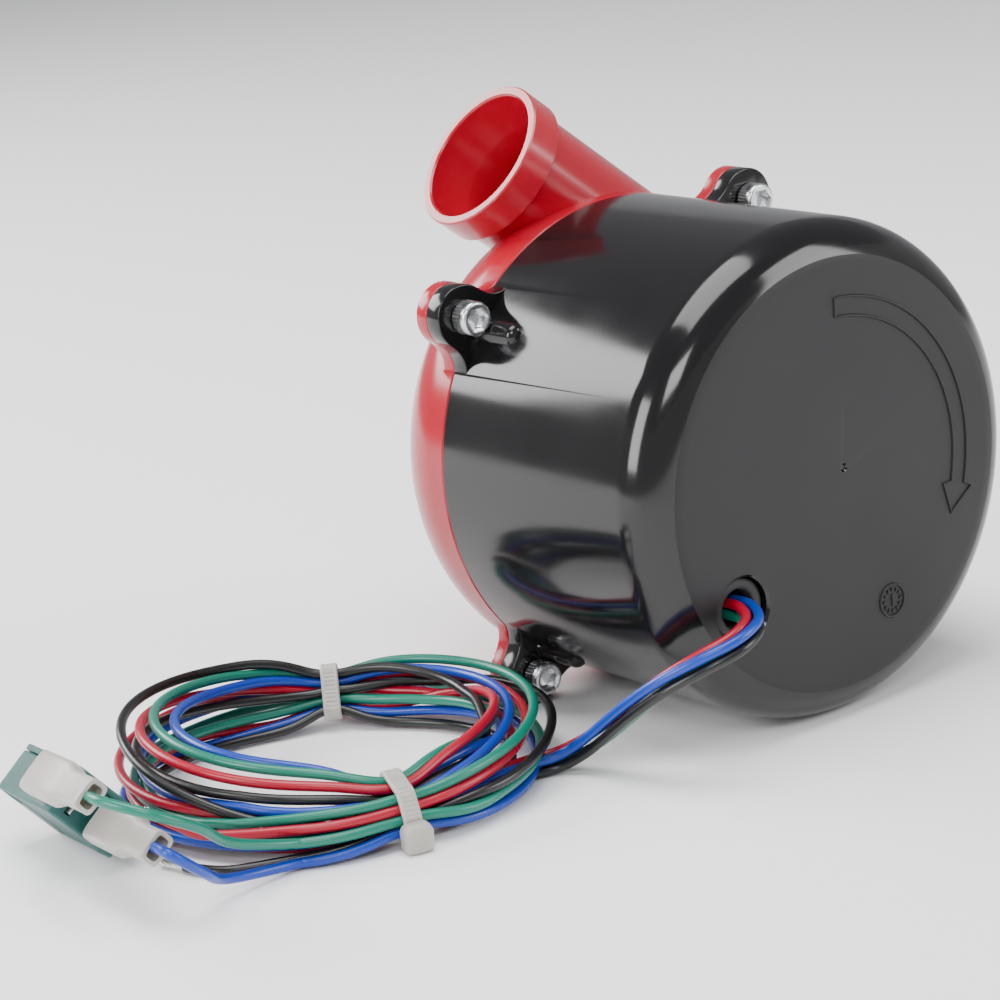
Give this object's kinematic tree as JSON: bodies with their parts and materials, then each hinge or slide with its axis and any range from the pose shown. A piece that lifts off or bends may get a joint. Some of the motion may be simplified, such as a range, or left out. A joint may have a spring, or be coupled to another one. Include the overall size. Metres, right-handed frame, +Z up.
{
  "type": "electric turbo sound blower",
  "caption": "Motor-driven air siren: black can with motor and impeller, red volute cover with a tangential horn, and a wire harness with a trigger microswitch.",
  "frame": {"origin": "on the resting surface, under the middle of the blower's own box, measured without the harness", "axes": "+Z up as the blower lies on its side; +Y along the can's axis towards its closed back; the horn points to +X and up"},
  "size_m": [0.2081, 0.113, 0.1234],
  "materials": {
    "black_can": "glossy injection-moulded black ABS",
    "red_cover": "glossy injection-moulded red ABS",
    "zinc": "bright zinc-plated steel",
    "steel": "plain steel",
    "copper": "enamelled copper wire and copper segments",
    "bronze": "sintered bronze and brass",
    "ferrite": "black ferrite",
    "carbon": "carbon",
    "grey_nylon": "grey glass-filled nylon",
    "rubber": "black rubber",
    "circuit_board": "green solder mask on glass laminate",
    "relay_blue": "blue moulded relay case",
    "capacitor_sleeve": "dark shrink sleeve",
    "milky_nylon": "translucent natural nylon",
    "teal_plastic": "teal moulded thermoset",
    "tinned": "tinned copper",
    "wire_red": "red PVC insulation",
    "wire_black": "black PVC insulation",
    "wire_blue": "blue PVC insulation",
    "wire_green": "green PVC insulation"
  },
  "bodies": {
    "housing": {"bare_end_black": "tinned", "bare_end_red": "tinned", "board_capacitor": "capacitor_sleeve", "board_relay": "relay_blue", "brush_left": "carbon", "brush_right": "carbon", "cable_tie_1": "milky_nylon", "cable_tie_2": "milky_nylon", "case_nut_1": "zinc", "case_nut_2": "zinc", "case_nut_3": "zinc", "case_nut_4": "zinc", "case_screw_1": "zinc", "case_screw_2": "zinc", "case_screw_3": "zinc", "case_screw_4": "zinc", "control_board": "circuit_board", "front_bushing": "bronze", "front_volute_cover": "red_cover", "lead_black": "wire_black", "lead_blue": "wire_blue", "lead_green": "wire_green", "lead_red": "wire_red", "magnet_left": "ferrite", "magnet_right": "ferrite", "motor_case": "steel", "motor_end_bell": "grey_nylon", "motor_plate": "steel", "motor_screw_1": "zinc", "motor_screw_2": "zinc", "rear_bushing": "bronze", "rear_motor_can": "black_can", "receptacle_blue": "bronze", "receptacle_green": "bronze", "sleeve_blue": "milky_nylon", "sleeve_green": "milky_nylon", "switch_body": "teal_plastic", "switch_cover": "teal_plastic", "tab_common": "tinned", "tab_normally_closed": "tinned", "tab_normally_open": "tinned", "tail_black": "wire_black", "tail_blue": "wire_blue", "tail_green": "wire_green", "tail_red": "wire_red", "wire_coil": "wire_green", "wire_grommet": "rubber"},
    "rotor": {"rotor_shaft": "steel", "armature_core": "steel", "armature_winding_1": "copper", "armature_winding_2": "copper", "armature_winding_3": "copper", "commutator": "copper", "impeller": "grey_nylon", "impeller_nut": "zinc"},
    "plunger": {"switch_plunger": "rubber"}
  },
  "joints": [
    {"name": "rotor_spin", "type": "hinge", "parent": "housing", "child": "rotor", "pos_m": [0, -0.01364, 0.05], "axis": [0, 1, 0], "continuous": true},
    {"name": "plunger_press", "type": "slide", "parent": "housing", "child": "plunger", "axis": [0.6257, -0.1915, 0.7562], "range_m": [0, 0.0012], "stiffness_N_per_m": 800, "springref_m": -0.0006}
  ]
}
